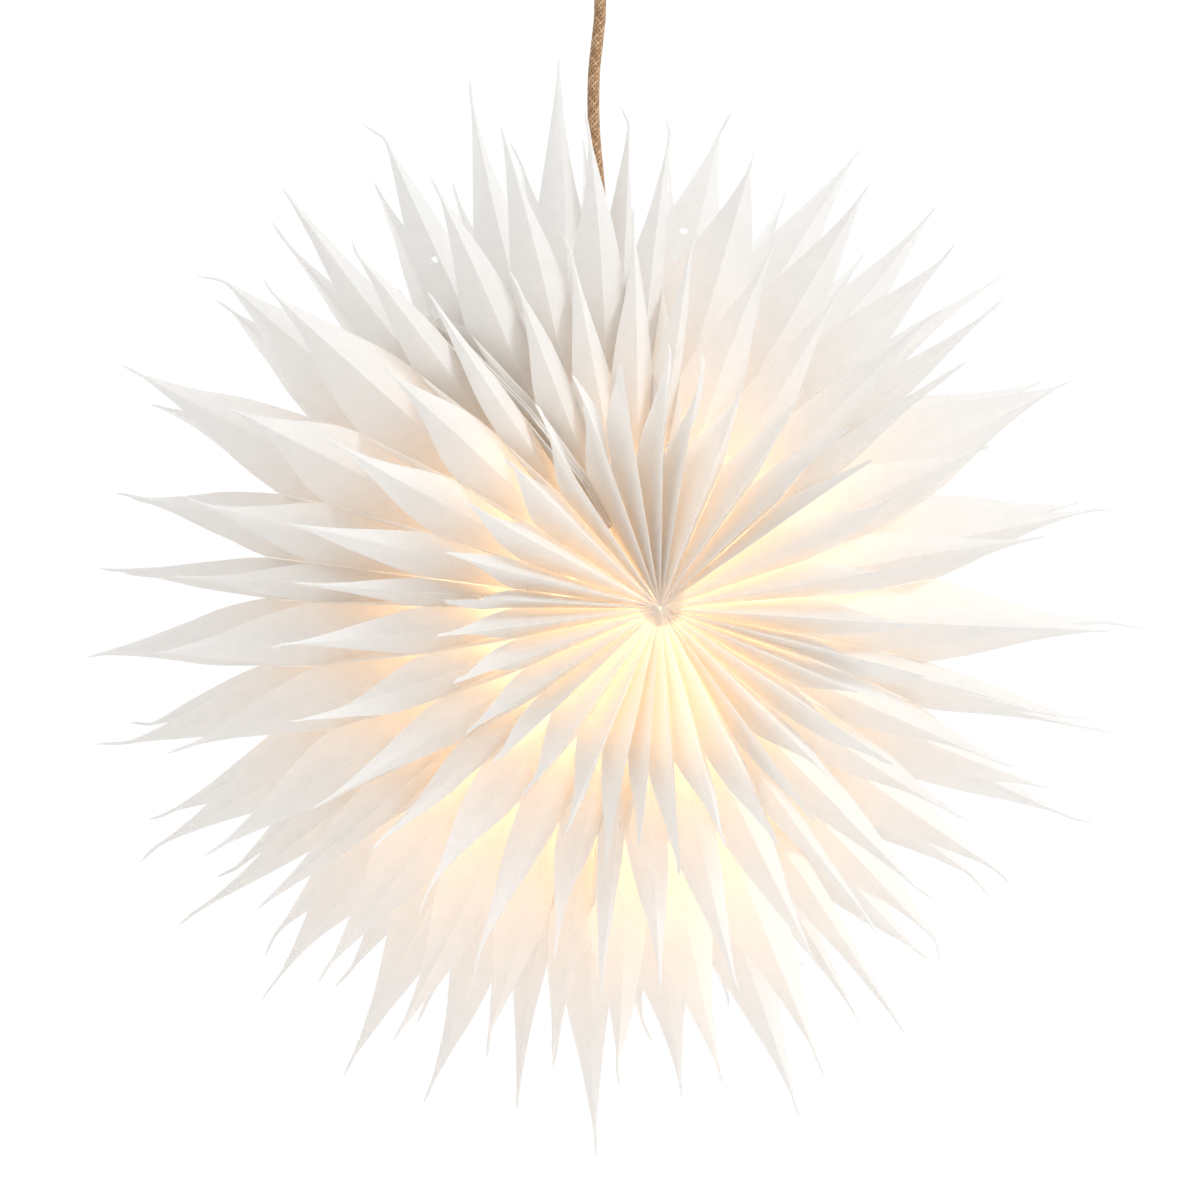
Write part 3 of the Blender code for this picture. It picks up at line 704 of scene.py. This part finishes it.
def make_leaves(finishes):
    """Every leaf in place of its CAD node, going round from the cord both ways."""
    clockwise = [width for bundle in CLOCKWISE for width in bundle]
    for widths, way, sign in ((clockwise, "cw", -1.0), (ANTICLOCKWISE, "ccw", 1.0)):
        angle = CORD_ANGLE
        for number, width in enumerate(widths, start=1):
            node = f"leaf_{way}_{number:02d}"
            middle = angle + sign * width / 2
            beside_cord = number == 1
            walls = (-1.0, 1.0) if beside_cord else (sign,)
            cord_side = -sign if beside_cord else 0.0
            half_turn = math.radians(width) / 2
            mesh = leaf_mesh("paper_" + node, half_turn, walls, cord_side, HOLES.get(node, ()))
            mesh.transform(Matrix.Translation(STAR_MIDDLE) @ star_turn(middle))
            leaf = link(bpy.data.objects.new("paper_" + node, mesh), finishes["leaf_paper"])
            body = frame["nodes"][node]["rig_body"]
            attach(leaf, body)
            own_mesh(leaf)
            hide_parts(node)
            angle += sign * width


# --- cord -------------------------------------------------------------------------------------------

CORD_STEP = 0.0008
CORD_SIDES = 36
# Each of the braid's two families has STRANDS strands. RELIEF is how deep the holes between them are.
STRANDS = 8
STRAND_PITCH = 0.0029
STRAND_RELIEF = 0.00045
STRAND_SHAPE = 0.6
# STRAND_SHADE is the colour value on a strand's crown. It falls to black in the holes between the strands, as
# painted shade.
STRAND_SHADE = 0.66
STRAND_TONES = (-0.06, 0.24)
UNDER_HEIGHT = 0.6
# Fuzz on the strands: its height, and how quickly it changes round the cord and along it.
FUZZ = 0.00008
FUZZ_ROUND = 4.0
FUZZ_ALONG = 900.0


def smooth_route(points, spacing):
    """Points about this far apart along a smooth curve through all of the given points."""
    points = [Vector(point) for point in points]
    padded = [2 * points[0] - points[1], *points, 2 * points[-1] - points[-2]]
    route = []
    for a, b, c, d in zip(padded, padded[1:], padded[2:], padded[3:]):
        steps = max(1, round((c - b).length / spacing))
        for step in range(steps):
            t = step / steps
            linear = (c - a) * t
            square = (2 * a - 5 * b + 4 * c - d) * t**2
            cube = (3 * b - 3 * c + d - a) * t**3
            route.append(b + (linear + square + cube) / 2)
    return [*route, points[-1]]


def braid_tone_and_painted_shade(along, angle, tones):
    """Height from 0 in a hole to 1 on a strand of a braid of two crossing families of strands, and a colour
    value: painted shade, darkest in the holes and down the strands' sides, times the strand's own tone.
    """
    turn = STRANDS * angle / (2.0 * math.pi)
    families = (along / STRAND_PITCH + turn, along / STRAND_PITCH - turn)
    over = (math.floor(families[0]) + math.floor(families[1])) % 2
    crowns = [abs(math.sin(math.pi * (place % 1.0))) for place in families]
    height = max(crowns[over], UNDER_HEIGHT * crowns[1 - over]) ** STRAND_SHAPE
    tone = tones[over][math.floor(families[over]) % STRANDS]
    # The colour value is painted shade: smooth(height) darkens the strands' sides and the holes between them,
    # times the strand's own tone.
    return height, min(1.0, smooth(height) * (STRAND_SHADE + tone))


def make_cord(finishes):
    """The braided cord, from under the carrier disc up into the ceiling fitting."""
    bends = [(offset, 0.0, height - STAR_DROP) for height, offset in CORD_BENDS]
    start = Vector((0.0, 0.0, DISC_BOTTOM - STAR_DROP))
    through = [
        start,
        (0.0, 0.0, DISC_TOP + CORD_LEAD - STAR_DROP),
        *bends,
        (0.0, 0.0, -CUP_GRIP_BOTTOM),
        (0.0, 0.0, -CUP_GRIP_TOP),
        (0.0, 0.0, -CORD_END),
    ]
    route = smooth_route(through, CORD_STEP)
    rng = random.Random("cord strands")
    tones = [[rng.uniform(*STRAND_TONES) for _ in range(STRANDS)] for _ in range(2)]
    bm = bmesh.new()
    # A point attribute for the braid's colour value: painted shade in the holes between the strands, with
    # each strand's own tone.
    shade = bm.verts.layers.float.new("braid_tone_and_painted_shade")
    rings = []
    along = 0.0
    for index, middle in enumerate(route):
        if index:
            along += (middle - route[index - 1]).length
        ring = []
        for side in range(CORD_SIDES):
            angle = 2.0 * math.pi * side / CORD_SIDES
            # tone is the strand's own tone with painted shade, darker down the strands' sides and in the
            # holes between them.
            height, tone = braid_tone_and_painted_shade(along, angle, tones)
            place = (math.cos(angle) * FUZZ_ROUND, math.sin(angle) * FUZZ_ROUND, along * FUZZ_ALONG)
            fuzz = noise.noise(Vector(place)) * FUZZ
            radius = CORD_DIAMETER / 2 - STRAND_RELIEF * (1.0 - height) + fuzz
            vert = bm.verts.new(middle + Vector((math.cos(angle), math.sin(angle), 0.0)) * radius)
            vert[shade] = tone
            ring.append(vert)
        rings.append(ring)
    for first, second in zip(rings, rings[1:]):
        for side in range(CORD_SIDES):
            after = (side + 1) % CORD_SIDES
            bm.faces.new((first[side], first[after], second[after], second[side]))
    bm.faces.new(list(reversed(rings[0])))
    bm.faces.new(rings[-1])
    mesh = bpy.data.meshes.new("cord_braid")
    bm.to_mesh(mesh)
    bm.free()
    mesh.shade_smooth()
    cord = link(bpy.data.objects.new("cord_braid", mesh), finishes["cord_textile"])
    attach(cord, "star_core")
    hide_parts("cord")


# --- lamp and ceiling fitting -----------------------------------------------------------------------

# Lampholder.
BORE_RADIUS = 0.0039
DISC_RADIUS = 0.020
GRIP_TOP = 0.0771
GRIP_BOTTOM = 0.0606
GRIP_RADIUS = 0.0080
GRIP_TAPER = 0.75
GRIP_TAPER_HEIGHT = 0.003
NIPPLE_RADIUS = 0.0052
CAP_TOP = 0.0696
CAP_RADIUS = 0.0205
CAP_CORNER = 0.008
HOLDER_JOINT = 0.0446
HOLDER_BOTTOM = 0.0146
HOLDER_RADIUS = 0.0200
HOLDER_WALL = 0.0022
HOLDER_CHAMFER = 0.001
HOLDER_CHAMFER_HEIGHT = 0.003
SHELL_RADIUS = 0.0143
SHELL_WALL = 0.0005
SHELL_TOP = 0.0385
SHELL_RISE = 0.004

# Bulb.
BULB_THREAD_RADIUS = 0.0131
BULB_CAP_TOP = 0.0366
BULB_CAP_BOTTOM = 0.0106
BULB_CONTACT_RADIUS = 0.0045
BULB_CONTACT_HEIGHT = 0.002
BULB_NECK_RADIUS = 0.0060
BULB_NECK_HEIGHT = 0.005
COLLAR_RADII = (0.0140, 0.0165, 0.0215)
COLLAR_STEP = 0.006
COLLAR_BOTTOM = -0.0154
GLOBE_RADIUS = 0.030
GLOBE_MIDDLE = -0.0374
THREAD_PITCH = 0.0036
THREAD_DEPTH = 0.0009
THREAD_STEP = 0.0003
THREAD_RUNOUT = 0.003
THREAD_EDGE = 0.0002

# Ceiling cup.
CUP_RADIUS = 0.045
CUP_HEIGHT = 0.046
CUP_WALL = 0.0016
CUP_CORNER = 0.014
CUP_HOLE_RADIUS = 0.0062
CUP_GRIP_RADIUS = 0.0085
CUP_GRIP_CHAMFER = 0.002
CUP_GRIP_ROWS = 12
RIBS = 24
RIB_DEPTH = 0.0005
RIB_FADE = 0.0012
RIB_FOOT_RADIUS = 0.0072

# Turned pieces: sides of a full turn, steps of an arc, and how corners are eased.
ROUND = 96
CUP_ARC_STEPS = 16
CAP_ARC_STEPS = 10
GLOBE_ARC_STEPS = 36
EASE = 0.0005
FINE_EASE = 0.0004
EASE_ROOM = 0.45
ON_AXIS = 0.00001
TURNED_SHARP = 38.0

KEPT_NODES = {
    "board_cw": "board_card",
    "board_ccw": "board_card",
    "seam_tie_front": "tie_thread",
    "seam_tie_rear": "tie_thread",
    "spine_front": "spine_glue",
    "spine_rear": "spine_glue",
    "contact_insert": "holder_ceramic",
    "ceiling_plate": "plate_steel",
    "plate_screw_left": "plate_steel",
    "plate_screw_right": "plate_steel",
    "terminal_block": "terminal_plastic",
    "cord_clamp": "terminal_plastic",
    "cup_grip_screw": "plate_steel",
}
BEVELS = {"ceiling_plate": 0.0004, "terminal_block": 0.0010, "cord_clamp": 0.0010, "cup_grip_screw": 0.0003}


def arc(middle, radius, first, last, steps):
    """Points along an arc in the plane of radius and height, angles in degrees from the +radius direction."""
    points = []
    for step in range(steps + 1):
        angle = math.radians(first + (last - first) * step / steps)
        points.append(Vector((middle[0] + radius * math.cos(angle), middle[1] + radius * math.sin(angle))))
    return points


def eased(profile, radius, closed, steps=4):
    """The profile with each of its corners rounded, as far as the lines on either side have room."""
    points = [Vector(point) for point in profile]
    rounded = []
    for index, corner in enumerate(points):
        if not closed and index in (0, len(points) - 1):
            rounded.append(corner)
            continue
        before = points[index - 1] - corner
        after = points[(index + 1) % len(points)] - corner
        room = min(radius, before.length * EASE_ROOM, after.length * EASE_ROOM)
        start = corner + before.normalized() * room
        end = corner + after.normalized() * room
        for step in range(steps + 1):
            t = step / steps
            rounded.append(start * (1 - t) ** 2 + corner * 2 * t * (1 - t) + end * t**2)
    return rounded


def turned(profile, closed, reach=None):
    """A mesh turned about the vertical axis. reach(radius, height, angle) can move each point in or out."""
    bm = bmesh.new()
    rings = []
    for radius, height in profile:
        if radius < ON_AXIS:
            rings.append([bm.verts.new((0.0, 0.0, height))])
            continue
        ring = []
        for step in range(ROUND):
            angle = 2.0 * math.pi * step / ROUND
            out = reach(radius, height, angle) if reach else radius
            ring.append(bm.verts.new((out * math.cos(angle), out * math.sin(angle), height)))
        rings.append(ring)
    pairs = list(zip(rings, rings[1:]))
    if closed:
        pairs.append((rings[-1], rings[0]))
    for first, second in pairs:
        for step in range(ROUND):
            after = (step + 1) % ROUND
            if len(first) == 1:
                bm.faces.new((first[0], second[after], second[step]))
            elif len(second) == 1:
                bm.faces.new((first[step], first[after], second[0]))
            else:
                bm.faces.new((first[step], first[after], second[after], second[step]))
    bmesh.ops.recalc_face_normals(bm, faces=bm.faces)
    mesh = bpy.data.meshes.new("turned")
    bm.to_mesh(mesh)
    bm.free()
    return mesh


def add_turned(node, finish, profile, height, closed=True, ease=EASE, reach=None):
    """A round piece in place of a CAD node. Its profile is points of (radius, height)."""
    points = eased(profile, ease, closed) if ease else [Vector(point) for point in profile]
    mesh = turned(points, closed, reach)
    mesh.name = "turned_" + node
    mesh.shade_smooth()
    mesh.set_sharp_from_angle(angle=math.radians(TURNED_SHARP))
    piece = link(bpy.data.objects.new("turned_" + node, mesh), finish)
    mesh.transform(Matrix.Translation((0.0, 0.0, height)))
    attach(piece, frame["nodes"][node]["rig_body"])
    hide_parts(node)
    return piece


def ribbed(count, depth, low, high):
    """Upright ribs round a grip, between two heights."""

    def reach(radius, height, angle):
        """A point's distance from the axis, deeper between two ribs."""
        fade = smooth((height - low) / RIB_FADE) * smooth((high - height) / RIB_FADE)
        groove = 0.5 - 0.5 * math.cos(count * angle)
        return radius - depth * fade * groove if radius > RIB_FOOT_RADIUS else radius

    return reach


def thread(radius, height, angle):
    """The round thread of a screw cap, running out at both of its ends."""
    if radius < BULB_THREAD_RADIUS - THREAD_EDGE:
        return radius
    below = smooth((height - BULB_CAP_BOTTOM) / THREAD_RUNOUT)
    above = smooth((BULB_CAP_TOP - BULB_NECK_HEIGHT - height) / THREAD_RUNOUT)
    fade = below * above
    turn = height / THREAD_PITCH - angle / (2.0 * math.pi)
    return radius - THREAD_DEPTH * fade * (0.5 + 0.5 * math.cos(2.0 * math.pi * turn))


def make_lamp(finishes):
    """The lampholder with the disc that carries the paper, and the bulb."""
    bore, gap, down = BORE_RADIUS, GAP, -STAR_DROP
    plastic = finishes["white_plastic"]
    add_turned(
        "carrier_disc",
        plastic,
        [(DISC_RADIUS, DISC_TOP), (DISC_RADIUS, DISC_BOTTOM), (bore, DISC_BOTTOM), (bore, DISC_TOP)],
        down,
    )
    shoulder = CAP_TOP + gap
    grip = [
        (GRIP_RADIUS * GRIP_TAPER, GRIP_TOP),
        (GRIP_RADIUS, GRIP_TOP - GRIP_TAPER_HEIGHT),
        (GRIP_RADIUS, shoulder),
        (NIPPLE_RADIUS, shoulder),
        (NIPPLE_RADIUS, GRIP_BOTTOM),
        (bore, GRIP_BOTTOM),
        (bore, GRIP_TOP),
    ]
    add_turned("cord_grip", plastic, grip, down)
    hole, corner, inner = NIPPLE_RADIUS + gap, CAP_CORNER, CAP_RADIUS - HOLDER_WALL
    cap = [
        (hole, CAP_TOP),
        *arc((CAP_RADIUS - corner, CAP_TOP - corner), corner, 90.0, 0.0, CAP_ARC_STEPS),
        (CAP_RADIUS, HOLDER_JOINT),
        (inner, HOLDER_JOINT),
        (inner, CAP_TOP - corner),
        (inner - corner + HOLDER_WALL, CAP_TOP - HOLDER_WALL),
        (hole, CAP_TOP - HOLDER_WALL),
    ]
    add_turned("holder_cap", plastic, cap, down, ease=0.0)
    joint, inner = HOLDER_JOINT - gap, HOLDER_RADIUS - HOLDER_WALL
    sleeve = [
        (HOLDER_RADIUS, joint),
        (HOLDER_RADIUS, HOLDER_BOTTOM + HOLDER_CHAMFER_HEIGHT),
        (HOLDER_RADIUS - HOLDER_CHAMFER, HOLDER_BOTTOM),
        (inner, HOLDER_BOTTOM),
        (inner, joint),
    ]
    add_turned("holder_sleeve", plastic, sleeve, down, ease=FINE_EASE)
    shell_low, shell_inner = HOLDER_BOTTOM + SHELL_RISE, SHELL_RADIUS - SHELL_WALL
    shell = [
        (SHELL_RADIUS, SHELL_TOP),
        (SHELL_RADIUS, shell_low),
        (shell_inner, shell_low),
        (shell_inner, SHELL_TOP),
    ]
    add_turned("thread_shell", finishes["thread_metal"], shell, down, ease=0.0)
    thread_top = BULB_CAP_TOP - BULB_NECK_HEIGHT
    steps = round((thread_top - BULB_CAP_BOTTOM) / THREAD_STEP)
    heights = [thread_top + (BULB_CAP_BOTTOM - thread_top) * step / steps for step in range(steps + 1)]
    screw_cap = [
        (0.0, BULB_CAP_TOP),
        (BULB_CONTACT_RADIUS, BULB_CAP_TOP),
        (BULB_NECK_RADIUS, BULB_CAP_TOP - BULB_CONTACT_HEIGHT),
        *((BULB_THREAD_RADIUS, height) for height in heights),
        (0.0, BULB_CAP_BOTTOM),
    ]
    add_turned(
        "bulb_cap",
        finishes["bulb_metal"],
        screw_cap,
        down,
        closed=False,
        ease=0.0,
        reach=thread,
    )
    collar_top = BULB_CAP_BOTTOM - gap
    collar = [
        (0.0, collar_top),
        (COLLAR_RADII[0], collar_top),
        (COLLAR_RADII[1], collar_top - COLLAR_STEP),
        (COLLAR_RADII[2], COLLAR_BOTTOM),
        (0.0, COLLAR_BOTTOM),
    ]
    add_turned("bulb_collar", finishes["bulb_plastic"], collar, down, closed=False)
    globe_top = COLLAR_BOTTOM - gap
    start = math.degrees(math.asin((globe_top - GLOBE_MIDDLE) / GLOBE_RADIUS))
    ball = [(0.0, globe_top), *arc((0.0, GLOBE_MIDDLE), GLOBE_RADIUS, start, -90.0, GLOBE_ARC_STEPS)]
    add_turned("bulb_globe", finishes["bulb_glass"], ball, down, closed=False, ease=0.0)


def make_cup(finishes):
    """The ceiling cup and the ribbed grip in its hole."""
    inner, gap = CUP_RADIUS - CUP_WALL, GAP
    middle = (CUP_RADIUS - CUP_CORNER, CUP_CORNER - CUP_HEIGHT)
    cup = [
        (CUP_RADIUS, -gap),
        *arc(middle, CUP_CORNER, 0.0, -90.0, CUP_ARC_STEPS),
        (CUP_HOLE_RADIUS, -CUP_HEIGHT),
        (CUP_HOLE_RADIUS, -CUP_HEIGHT + CUP_WALL),
        *reversed(arc(middle, CUP_CORNER - CUP_WALL, 0.0, -90.0, CUP_ARC_STEPS)),
        (inner, -gap),
    ]
    add_turned("ceiling_cup", finishes["cup_plastic"], cup, 0.0, ease=0.0)
    neck, under = CUP_HOLE_RADIUS - gap, -CUP_HEIGHT - gap
    foot = CUP_GRIP_CHAMFER - CUP_GRIP_BOTTOM
    heights = [under + (foot - under) * step / CUP_GRIP_ROWS for step in range(CUP_GRIP_ROWS + 1)]
    grip = [
        (neck, -CUP_GRIP_TOP),
        (neck, under),
        *((CUP_GRIP_RADIUS, height) for height in heights),
        (CUP_GRIP_RADIUS - CUP_GRIP_CHAMFER, -CUP_GRIP_BOTTOM),
        (BORE_RADIUS, -CUP_GRIP_BOTTOM),
        (BORE_RADIUS, -CUP_GRIP_TOP),
    ]
    ribs = ribbed(RIBS, RIB_DEPTH, foot, under)
    add_turned("cup_grip", finishes["white_plastic"], grip, 0.0, ease=0.0, reach=ribs)


def finish_kept_nodes(finishes):
    """Materials for the CAD nodes that are seen as they are, and eased edges for some of them."""
    for node, slot in KEPT_NODES.items():
        obj = frame["nodes"][node]
        obj.data.materials.clear()
        obj.data.materials.append(finishes[slot])
        if node in BEVELS:
            bevel = obj.modifiers.new("edges", "BEVEL")
            bevel.width = BEVELS[node]
            bevel.segments = 2
            bevel.limit_method = "ANGLE"


# --- stage ------------------------------------------------------------------------------------------


def make_camera():
    """A camera in front of the star, a little to the left and above, which sees VIEW_WIDTH at its middle."""
    data = bpy.data.cameras.new("camera")
    data.sensor_width = SENSOR
    data.lens = SENSOR * CAMERA_DISTANCE / VIEW_WIDTH
    data.clip_end = CAMERA_REACH
    camera = bpy.data.objects.new("camera", data)
    bpy.context.scene.collection.objects.link(camera)
    azimuth, elevation = math.radians(CAMERA_AZIMUTH), math.radians(CAMERA_ELEVATION)
    back = Vector(
        (
            math.sin(azimuth) * math.cos(elevation),
            -math.cos(azimuth) * math.cos(elevation),
            math.sin(elevation),
        )
    )
    camera.location = STAR_MIDDLE + back * CAMERA_DISTANCE
    camera.rotation_mode = "QUATERNION"
    camera.rotation_quaternion = (-back).to_track_quat("-Z", "Y")
    bpy.context.scene.camera = camera


def area_light(name, place, size, power, colour):
    """A round light that faces the middle of the star."""
    data = bpy.data.lights.new(name, "AREA")
    data.shape = "DISK"
    data.size = size
    data.energy = power
    data.color = colour
    light = bpy.data.objects.new(name, data)
    light.location = place
    light.rotation_mode = "QUATERNION"
    light.rotation_quaternion = (STAR_MIDDLE - Vector(place)).to_track_quat("-Z", "Y")
    bpy.context.scene.collection.objects.link(light)


def make_stage():
    """Soft light from all round, a brighter key light, a white backdrop and a pale floor."""
    world = bpy.data.worlds.new("studio")
    world.use_nodes = True
    tree = world.node_tree
    background = tree.nodes["Background"]
    background.inputs["Color"].default_value = SKY_COLOUR
    background.inputs["Strength"].default_value = SKY_STRENGTH
    backdrop = tree.nodes.new("ShaderNodeBackground")
    backdrop.inputs["Color"].default_value = BACKDROP_COLOUR
    backdrop.inputs["Strength"].default_value = BACKDROP_STRENGTH
    either = tree.nodes.new("ShaderNodeMixShader")
    tree.links.new(tree.nodes.new("ShaderNodeLightPath").outputs["Is Camera Ray"], either.inputs[0])
    tree.links.new(background.outputs["Background"], either.inputs[1])
    tree.links.new(backdrop.outputs["Background"], either.inputs[2])
    tree.links.new(either.outputs["Shader"], tree.nodes["World Output"].inputs["Surface"])
    bpy.context.scene.world = world
    bpy.context.scene.view_settings.view_transform = "Standard"
    area_light("key", KEY_PLACE, KEY_SIZE, KEY_POWER, KEY_COLOUR)
    mesh = bpy.data.meshes.new("floor")
    bm = bmesh.new()
    bmesh.ops.create_grid(bm, x_segments=1, y_segments=1, size=FLOOR_SIZE)
    bm.to_mesh(mesh)
    bm.free()
    finish = Finish("floor", roughness=0.9, specular=0.1)
    finish.shader.inputs["Base Color"].default_value = FLOOR_COLOUR
    floor = link(bpy.data.objects.new("floor", mesh), finish.material)
    floor.location.z = FLOOR_HEIGHT


make_camera()
finishes = make_finishes()
make_cup(finishes)
make_cord(finishes)
make_leaves(finishes)
make_lamp(finishes)
finish_kept_nodes(finishes)
make_stage()
